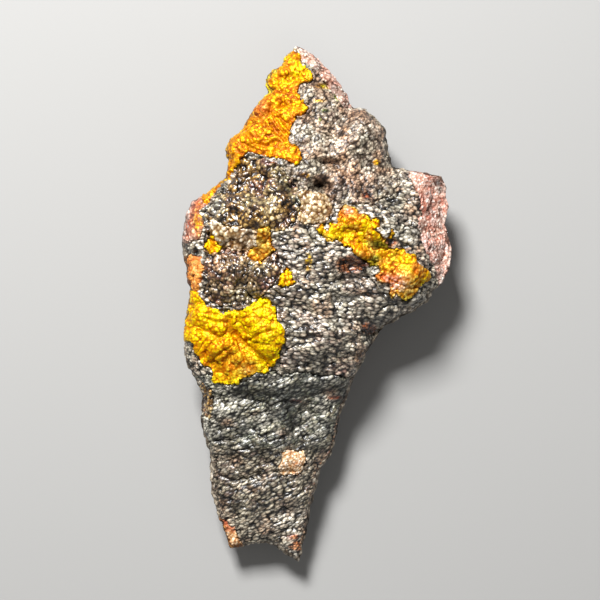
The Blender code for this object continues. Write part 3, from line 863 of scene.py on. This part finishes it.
GOLD_VUG = tenths(
    -4, 156, 8, 161, 19, 154, 28, 163, 40, 175, 51, 197, 59, 203, 74, 199, 87, 188, 104, 182, 112, 173,
    125, 173, 129, 161, 114, 154, 125, 144, 138, 135, 150, 144, 157, 154, 161, 146, 150, 135, 142, 129,
    146, 118, 157, 110, 178, 110, 197, 101, 210, 101, 203, 88, 210, 76, 227, 72, 246, 57, 235, 48, 220, 42,
    212, 31, 206, 21, 195, 14, 187, 10, 176, 14, 163, 16, 157, 8, 150, 12, 146, 27, 150, 38, 134, 40,
    125, 48, 114, 57, 112, 63, 125, 67, 121, 74, 106, 72, 102, 86, 93, 97, 78, 105, 70, 114, 55, 120,
    51, 131, 42, 135, 30, 129, 17, 133, 6, 141, -2, 150,
)
CHIP_MID = tenths(-64, 72, -55, 63, -45, 50, -42, 44, -47, 31, -61, 33, -70, 36, -81, 36, -81, 48, -72, 61)
CHIP_WEST = tenths(
    -231, 133, -218, 137, -212, 129, -203, 118, -201, 110, -212, 108, -223, 105, -233, 114, -233, 125,
)
BRONZE_GOLD = tenths(
    -123, 152, -104, 161, -93, 152, -89, 125, -87, 110, -100, 99, -117, 93, -134, 91, -148, 101, -140, 114,
    -127, 122, -125, 135,
)
GOLD_GRAINS = [(0.75, 0.5), (2.8, 1.2)]
PLATE_GRAINS = [(0.7, 0.32), (3.2, 1.3)]
FINE_GOLD_GRAINS = [(0.75, 0.5), (2.2, 0.7)]
TIP_FOLDS = [
    (0.35, 0.6, tenths(-95, 395, -80, 372, -57, 347)),
    (0.35, 0.5, tenths(-87, 402, -70, 381, -55, 362)),
    (0.35, 0.6, tenths(-100, 385, -87, 362, -66, 341)),
    (0.35, 0.5, tenths(-153, 336, -131, 322, -108, 313)),
    (0.4, 0.7, tenths(-144, 353, -134, 336, -110, 328, -86, 338)),
    (0.4, 0.7, tenths(-136, 400, -122, 389, -100, 396, -96, 416)),
    (0.35, 0.6, tenths(-89, 506, -87, 483, -68, 474, -51, 485)),
    (0.35, 0.5, tenths(-110, 449, -85, 453, -68, 445)),
]
PLATE_FOLDS = [
    (0.55, 1.1, tenths(-182, -30, -182, -56, -159, -79, -131, -100, -112, -113)),
    (0.4, 0.6, tenths(-159, -79, -142, -75, -119, -62, -95, -56)),
    (0.4, 0.7, tenths(-163, -85, -148, -119, -144, -132)),
    (0.4, 0.5, tenths(-180, -56, -201, -68, -223, -87, -237, -111)),
    (0.35, 0.5, tenths(-174, -87, -195, -98, -214, -112, -223, -124)),
    (0.35, 0.5, tenths(-166, -102, -189, -116, -201, -140)),
    (0.4, 0.5, tenths(-248, -56, -218, -64, -203, -81)),
    (0.4, 0.5, tenths(-233, -30, -214, -39, -189, -39)),
]
gold_finish = finish(
    "gold_finish",
    GOLD_TONES,
    layers=[("rust", ["a85018", "d87c30", "ec9a54", "f4b888"]), ("green", GREEN_TONES),
            ("rose", ["94503c", "d88468", "f4b094", "fcd8c8"])],
    clouds=0.25, each=0.2, shade_tint="b0842c", pebble=0.6, top_light_strength=0.45, metallic=0.35, gloss=0.15,
)
for piece_name, outline, grains, marks, folds in [
    ("gold_crust_upper", GOLD_UPPER, GOLD_GRAINS, upper_gold, TIP_FOLDS),
    ("gold_crust_lower", GOLD_LOWER, PLATE_GRAINS, lower_gold, PLATE_FOLDS),
    ("gold_crust_vug", GOLD_VUG, FINE_GOLD_GRAINS, vug_gold, ()),
    ("gold_chip_mid", CHIP_MID, FINE_GOLD_GRAINS, even_gold, ()),
    ("gold_chip_west", CHIP_WEST, FINE_GOLD_GRAINS, even_gold, ()),
    ("gold_crust_bronze", BRONZE_GOLD, FINE_GOLD_GRAINS, vug_gold, ()),
]:
    hang(crust(piece_name, outline, GOLD_CELL, GOLD_LIFT, grains, marks, folds=folds), gold_finish)

# Bronze knobs: the largest round lumps, dark iridescent goethite like packed beads with a metallic
# lustre, and the finer brown and beige beads around them.
BRONZE = tenths(
    -157, 305, -117, 305, -83, 288, -57, 262, -45, 237, -36, 209, -45, 167, -68, 152, -95, 146, -125, 135,
    -163, 125, -201, 146, -231, 167, -235, 188, -216, 220, -195, 241, -174, 279,
)
BROWN = tenths(
    -235, 165, -201, 144, -163, 122, -117, 131, -87, 114, -74, 80, -87, 40, -117, 12, -138, -1, -172, -5,
    -218, -1, -237, 25, -235, 72, -235, 110,
)
BEIGE = tenths(-47, 230, -15, 237, 19, 224, 32, 199, 19, 173, -11, 165, -40, 165)
KNOB_WEST = tenths(-242, -172, -223, -179, -216, -204, -225, -238, -239, -242, -252, -204)


def bronze_marks(points):
    """Olive bronze with paler gold knobs on the right, and patches of a pink and green film."""
    gold = bell(points, -10.6, 18.6, 4.0, 4.0)
    film = 0.6 * step_up(swell(points, 3.4, 121) - 0.2, 0.5)
    pink = bell(points, -10.2, 29.6, 2.0, 1.4) + 0.7 * bell(points, -4.6, 24.6, 1.4, 1.8)
    green = bell(points, -21.0, 20.6, 2.0, 2.4)
    hue = 0.5 + 0.6 * swell(points, 3.6, 137) - 0.8 * pink + 0.6 * green
    return {"tone": 0.42 + 0.3 * gold + 0.3 * (pink + green) + 0.25 * swell(points, 3.0, 122),
            "film": np.clip(0.5 * film + 0.7 * pink + 0.6 * green, 0, 1), "hue": hue}


def pale_marks(points):
    """Pale beige beads, pinkish and grey in places."""
    return {"tone": 0.95 + 0.3 * swell(points, 2.4, 124), "film": np.full(len(points), 0.15)}


def beige_marks(points):
    """Golden beige beads."""
    return {"tone": 0.7 + 0.3 * swell(points, 2.4, 125), "film": np.full(len(points), 0.1)}


def brown_marks(points):
    """Dark brown beads, pale at the lower end, with a little film."""
    pale = bell(points, -17.0, 2.0, 6.0, 2.6) + bell(points, -12.0, 8.0, 4.0, 2.0)
    tone = 0.46 + 0.3 * pale + 0.35 * swell(points, 2.4, 126)
    return {"tone": tone, "film": 0.1 + 0.3 * pale, "brown": 0.8 - 0.4 * pale}


BRONZE_TONES = ["2c1c08", "7a5420", "b8904c", "e8c47c", "fff0c8"]
FILM_TONES = ["c07080", "dcb0ac", "c4b494", "9cb89c", "b4c8c8"]
bronze_finish = finish(
    "bronze_finish",
    BRONZE_TONES,
    layers=[("brown", ["2a160a", "74492c", "b88a60", "ffe8cc"]), ("film", FILM_TONES)],
    clouds=0.35, shade_tint="3c2a16", pebble_shade=0.4, top_light_strength=0.5, roughness=0.34, metallic=0.2, coat=0.6,
    bump=0.3,
)
pale_finish = finish(
    "pale_finish",
    ["7a5a2c", "c09c60", "e6cc98", "fff4dc"],
    layers=[("film", FILM_TONES)],
    clouds=0.35, shade_tint="745a38", pebble_shade=0.4, roughness=0.38, metallic=0.1, coat=0.3, bump=0.3,
)
PALE_FINE = tenths(-225, 176, -170, 156, -130, 149, -108, 130, -120, 104, -170, 108, -204, 120, -224, 146)
BRONZE_GRAINS = [(1.0, 0.75), (3.2, 1.5)]
BROWN_GRAINS = [(0.9, 0.8), (2.6, 0.8)]
PALE_GRAINS = [(0.9, 0.5), (2.4, 0.5)]
for piece_name, outline, grains, lift, marks, material in [
    ("pale_crust", PALE_FINE, PALE_GRAINS, 0.2, pale_marks, pale_finish),
    ("bronze_crust", BRONZE, BRONZE_GRAINS, 0.15, bronze_marks, bronze_finish),
    ("brown_crust", BROWN, BROWN_GRAINS, 0.2, brown_marks, bronze_finish),
    ("beige_crust", BEIGE, PALE_GRAINS, 0.2, beige_marks, pale_finish),
    ("knob_crust", KNOB_WEST, BROWN_GRAINS, 0.2, bronze_marks, bronze_finish),
]:
    hang(crust(piece_name, outline, GOLD_CELL, lift, grains, marks), material)

# Rose crusts: rough, fine-grained earthy matrix of the broken lobe and rim, a pale pink to rust
# stone where the dark crust has come off.
ROSE_CELL = 0.17
ROSE_GRAINS = [(0.6, 0.4), (2.0, 0.7)]


def rose_marks(points):
    """Pale rose with reddish and greyish patches."""
    spot = bell(points, 25.6, 25.6, 1.5, 1.8) + 0.7 * step_up(swell(points, 2.0, 133) - 0.5, 0.3)
    grey = 0.75 * step_up(points[:, 1] - 38.0, 4.0) + bell(points, -26.4, 12.6, 3.0, 1.2)
    grey += 0.5 * step_up(swell(points, 1.7, 148) - 0.25, 0.4)
    rust = bell(points, -24.6, 20.9, 1.1, 1.1) + 0.9 * bell(points, -27.0, 16.8, 1.6, 3.4)
    rust += 0.45 * step_up(swell(points, 1.5, 138) - 0.3, 0.4)
    west = step_up(-20.0 - points[:, 0], 2.0)
    ends = 0.25 * bell(points, 25.6, 6.0, 4.0, 4.0) - 0.15 * bell(points, 24.0, 25.0, 4.0, 3.0)
    tone = 0.88 + ends - 0.5 * west + 0.2 * swell(points, 3.0, 131) + 0.3 * swell(points, 0.9, 132)
    return {"tone": tone,
            "dark": np.clip(spot, 0, 1), "grey": np.clip(grey, 0, 1), "rust": np.clip(rust, 0, 1),
            "gold": np.clip(1.3 * bell(points, -24.8, 17.0, 1.1, 3.4), 0, 1)}


def peach_marks(points):
    """Pale peach with a few rusty specks."""
    rust = 0.3 * step_up(swell(points, 1.2, 139) - 0.3, 0.4)
    return {"tone": 1.0 + 0.2 * swell(points, 2.0, 134), "rust": rust}


def ochre_marks(points):
    """Rusty ochre."""
    return {"tone": 0.62 + 0.3 * swell(points, 2.4, 135), "rust": 0.25 * bell(points, -25.6, 9.6, 2.0, 1.2)}


def foot_marks(points):
    """Peach, reddish at its upper end."""
    return {"tone": 0.6 + 0.3 * swell(points, 1.6, 136), "rust": 0.8 * step_up(points[:, 1] + 48.4, 1.6)}


RUST_TONES = ["7c2c10", "c05024", "dc8050", "f0b08c"]
rose_finish = finish(
    "rose_finish",
    ROSE_TONES,
    layers=[("rust", ["8a3c20", "c8643c", "e89468", "fcccac"]), ("gold", GOLD_TONES), ("grey", GREY_TONES),
            ("dark", ["0c0a08", "2c2824", "5c5852", "9c968c"])],
    each=0.6, shade_tint="a47c70", pebble=0.6, pebble_shade=0.7, roughness=0.55, coat=0.1, bump=0.8,
)
peach_finish = finish(
    "peach_finish", ["b8783c", "dcac78", "f4d8b0", "fff6e4"], layers=[("rust", RUST_TONES)],
    clouds=0.4, each=0.5, shade_tint="b49470", top_light_strength=0.6, roughness=0.6, bump=0.7,
)
ochre_finish = finish(
    "ochre_finish", ["a8641c", "e09c40", "f4bc60", "fce0a4"], layers=[("rust", RUST_TONES)],
    clouds=0.6, shade_tint="c89860", pebble_shade=0.4, roughness=0.6, bump=0.7,
)
for piece_name, outline, lift, marks, material in [
    ("rose_lobe", ROSE_LOBE, 0.1, rose_marks, rose_finish),
    ("rose_west", ROSE_WEST, 0.1, rose_marks, rose_finish),
    ("rose_tip", ROSE_TIP, 0.1, rose_marks, rose_finish),
    ("peach_scab", ROSE_SCAB, 0.35, peach_marks, peach_finish),
    ("ochre_flat", OCHRE_FLAT, 0.1, ochre_marks, ochre_finish),
    ("peach_foot", FOOT_WEST, 0.1, foot_marks, peach_finish),
]:
    hang(crust(piece_name, outline, ROSE_CELL, lift, ROSE_GRAINS, marks), material)

# Grey crusts: the dark goethite that covers most of the face, pale and fine on the shoulder, in
# rippled rows of small lumps across the middle and fine with slanting streaks on the blade.
GREY_CELL = 0.16
SHOULDER = tenths(
    -23, 517, 2, 504, 38, 464, 66, 432, 74, 415, 110, 430, 160, 380, 170, 326, 165, 292, 172, 267, 167, 228,
    117, 207, 59, 207, 28, 220, -36, 241, -70, 283, -78, 347, -57, 411, -57, 466, -40, 517,
)
BLADE = tenths(
    -300, -153, -163, -145, -36, -140, 120, -162, 94, -208, 85, -400, 40, -600, -240, -600, -280, -374,
    -287, -187,
)
EVERYWHERE = tenths(-320, -590, 320, -590, 320, 590, -320, 590)


# Some tone spots are painted light and shade on the relief: lighter on the blade boss and on the waist
# boss's side towards the key light, darker on its far side, in two of the blade's hollows and along the step
# down to the blade.
GREY_SPOTS = {
    "tone": [
        (-19.5, -21.5, 4.5, 3, 0.35), (-22, -31, 3, 4, 0.15), (-6.5, -24.5, 2.6, 4.5, -0.3),
        (-7, -18.6, 11, 1.6, -0.25), (0.4, -32, 2.6, 2.6, -0.35), (-13, -29.6, 9, 0.7, -0.3),
        (-15, -43, 4, 3, -0.15), (-8, -46, 6, 3, 0.2), (2, -20, 3, 2, 0.2),
        (-5, -51.4, 2.6, 2.6, 0.45), (7.2, 8.2, 2.6, 1.5, 0.4),
        (-1.9, 44.7, 1.9, 1.9, -0.15), (-1, 35, 4, 5, -0.2), (14.5, 36, 1.6, 4, -0.2),
        (-8.5, -1, 1.6, 5, -0.3), (6, -12, 6, 2, -0.2), (3, -4, 6, 2, 0.2),
    ],
    "peach": [
        (9.5, 41.6, 2.6, 1.6, 1), (13.6, 35.6, 1.2, 2.6, 0.7), (6.1, 35.1, 0.5, 1.5, 0.9),
        (14.4, 27.9, 1.6, 1, 0.8), (4.5, 29, 3, 2.4, 0.6), (-3.6, 27, 1.6, 0.8, 0.8),
        (20.8, 22, 1.1, 3.6, 0.6), (21.2, 11.5, 1.2, 3, 0.6), (16.5, 4, 1.8, 1.4, 0.7),
        (-7, -27.6, 1.6, 1.2, 0.6), (2.6, -18.6, 1.4, 0.8, 0.9),
        (8.8, -12, 0.9, 1.8, 1), (10.6, 2, 1.2, 0.8, 0.8),
        (-19, -25, 1.6, 1, 0.7), (9.4, -14, 1.4, 2, 0.7),
    ],
    "rust": [
        (10.4, 22.6, 0.9, 0.7, 1.2), (7.2, 8.2, 2.6, 1.4, 1.8), (15, 12.8, 1.6, 0.7, 0.8),
        (-9.6, 29.2, 1.6, 0.7, 0.8), (9, 16, 1, 1, 0.6), (17.6, 11.5, 2.4, 0.8, 0.5),
        (-4.6, -20.4, 1.4, 0.6, 0.7), (3.8, -19.8, 2.4, 0.6, 0.5), (-5, -49.6, 1.4, 0.5, 0.9),
        (-4.4, -51.6, 1.6, 0.9, 1), (-3, -53, 0.8, 1.4, 0.8), (10.8, -5.2, 1.6, 1.2, 1),
    ],
    "gold": [
        (-1.9, 8.6, 0.7, 1.7, 1), (12.3, 29.6, 0.7, 0.6, 1), (2.2, 46, 2.4, 0.7, 0.8),
        (0.4, 42.6, 1.6, 0.5, 0.6), (-2.6, 26.6, 0.9, 0.5, 0.7),
    ],
    "green": [(4.2, 44.2, 0.6, 1.7, 0.9), (1.6, 40.4, 1.1, 0.5, 0.8), (0.6, 38.6, 0.4, 0.6, 0.7)],
}


def spots_of(points, layer):
    """Sum of the layer's listed spots, each a bell with an uneven edge."""
    uneven = 1 + 0.5 * swell(points, 0.9, 140)
    spots = [share * bell(points, x, y, across, down) for x, y, across, down, share in GREY_SPOTS[layer]]
    return sum(spots) * uneven


def grey_marks(points, tone, peach):
    """The grey crusts' marks: the given tone and share of peach stains, with the listed spots."""
    shares = {layer: step_up(spots_of(points, layer) - 0.35, 0.5) for layer in ("rust", "gold", "green")}
    shares["peach"] = np.clip(peach + spots_of(points, "peach"), 0, 1)
    return {"tone": tone + spots_of(points, "tone"), "film": np.full(len(points), 0.12), **shares}


def shoulder_marks(points):
    """Pale grey, with peach stains, and painted shade that darkens it towards the hollows at its lower end.
    """
    # Painted shade: darker towards the hollows at the lower end.
    low = step_up(26.5 - points[:, 1], 6.0)
    tone = 0.6 - 0.3 * low + 0.2 * swell(points, 4.0, 141)
    return grey_marks(points, tone, 0.7 * step_up(swell(points, 2.6, 142) - 0.2, 0.6))


def middle_marks(points):
    """Grey, with few brown and peach stains."""
    tone = 0.58 + 0.25 * swell(points, 5.0, 143)
    return grey_marks(points, tone, 0.6 * step_up(swell(points, 2.4, 144) - 0.45, 0.5))


def blade_marks(points):
    """Darker grey, paler at the foot, with pinkish stains and a painted peach highlight along its right rim.
    """
    foot = step_up(-44.0 - points[:, 1], 8.0)
    upper = step_up(points[:, 1] + 30.0, 4.0)
    tone = 0.22 + 0.4 * foot + 0.14 * upper + 0.25 * swell(points, 5.0, 145)
    # Painted highlight: a peach band along the right rim, passed in with the stains.
    rim = step_up(0.9 - rim_gap(points[:, :2]), 0.6) * step_up(points[:, 0] + 9.0, 2.0)
    stains = 0.5 * step_up(swell(points, 2.8, 146) - 0.35, 0.5) * (1 - upper)
    cool = {"film": 0.1 + 0.15 * upper, "hue": 0.55 + 0.35 * upper + 0.3 * swell(points, 2.6, 147)}
    return {**grey_marks(points, tone, rim + stains), **cool}


GREY_LAYERS = [
    ("film", FILM_TONES),
    ("peach", ["6a4a38", "b08464", "dcb28c", "f2d6b8"]),
    ("rust", ["4a2014", "8a4020", "c06c38", "e0a070"]),
    ("gold", GOLD_TONES),
    ("green", GREEN_TONES),
]
BLADE_CRACKS = [
    (0.25, 0.5, tenths(-150, -225, -138, -214, -125, -204)),
    (0.25, 0.5, tenths(-110, -227, -89, -210, -68, -204, -53, -206)),
    (0.25, 0.6, tenths(-216, -291, -182, -287, -153, -280)),
    (0.25, 0.6, tenths(-127, -276, -119, -280, -102, -272)),
    (0.25, 0.6, tenths(-100, -289, -74, -282, -59, -278)),
    (0.25, 0.4, tenths(-193, -312, -142, -308)),
    (0.25, 0.4, tenths(-210, -364, -176, -376, -148, -372)),
    (0.9, 0.5, tenths(-59, -222, -49, -248, -51, -272)),
]
for piece_name, outline, grains, marks, stretch, turn, rows, folds, top_light_strength, shade_tint, coat in [
    ("shoulder", SHOULDER, [(0.7, 0.3), (2.4, 0.6)], shoulder_marks, 1.2, 30, None, (), 0.3, "3c3228", 0.1),
    ("blade", BLADE, [(0.54, 0.4), (2.4, 0.7)], blade_marks, 2.1, 25, (1.2, 0.4), BLADE_CRACKS, 0.45,
     "1c1610", 0.4),
    ("middle", EVERYWHERE, [(0.66, 0.62), (2.6, 0.9)], middle_marks, 1.9, -6, (1.2, 0.7), (), 0.6,
     "1c1610", 0.6),
]:
    material = finish(
        piece_name + "_finish", GREY_TONES, layers=GREY_LAYERS, each=0.35, shade_tint=shade_tint, pebble=0.45,
        pebble_shade=0.25, slant=(turn, stretch), top_light_strength=top_light_strength, metallic=0.1, coat=coat,
    )
    piece = crust(piece_name + "_crust", outline, GREY_CELL, 0.15, grains, marks, stretch, turn, rows=rows,
                  folds=folds)
    hang(piece, material)
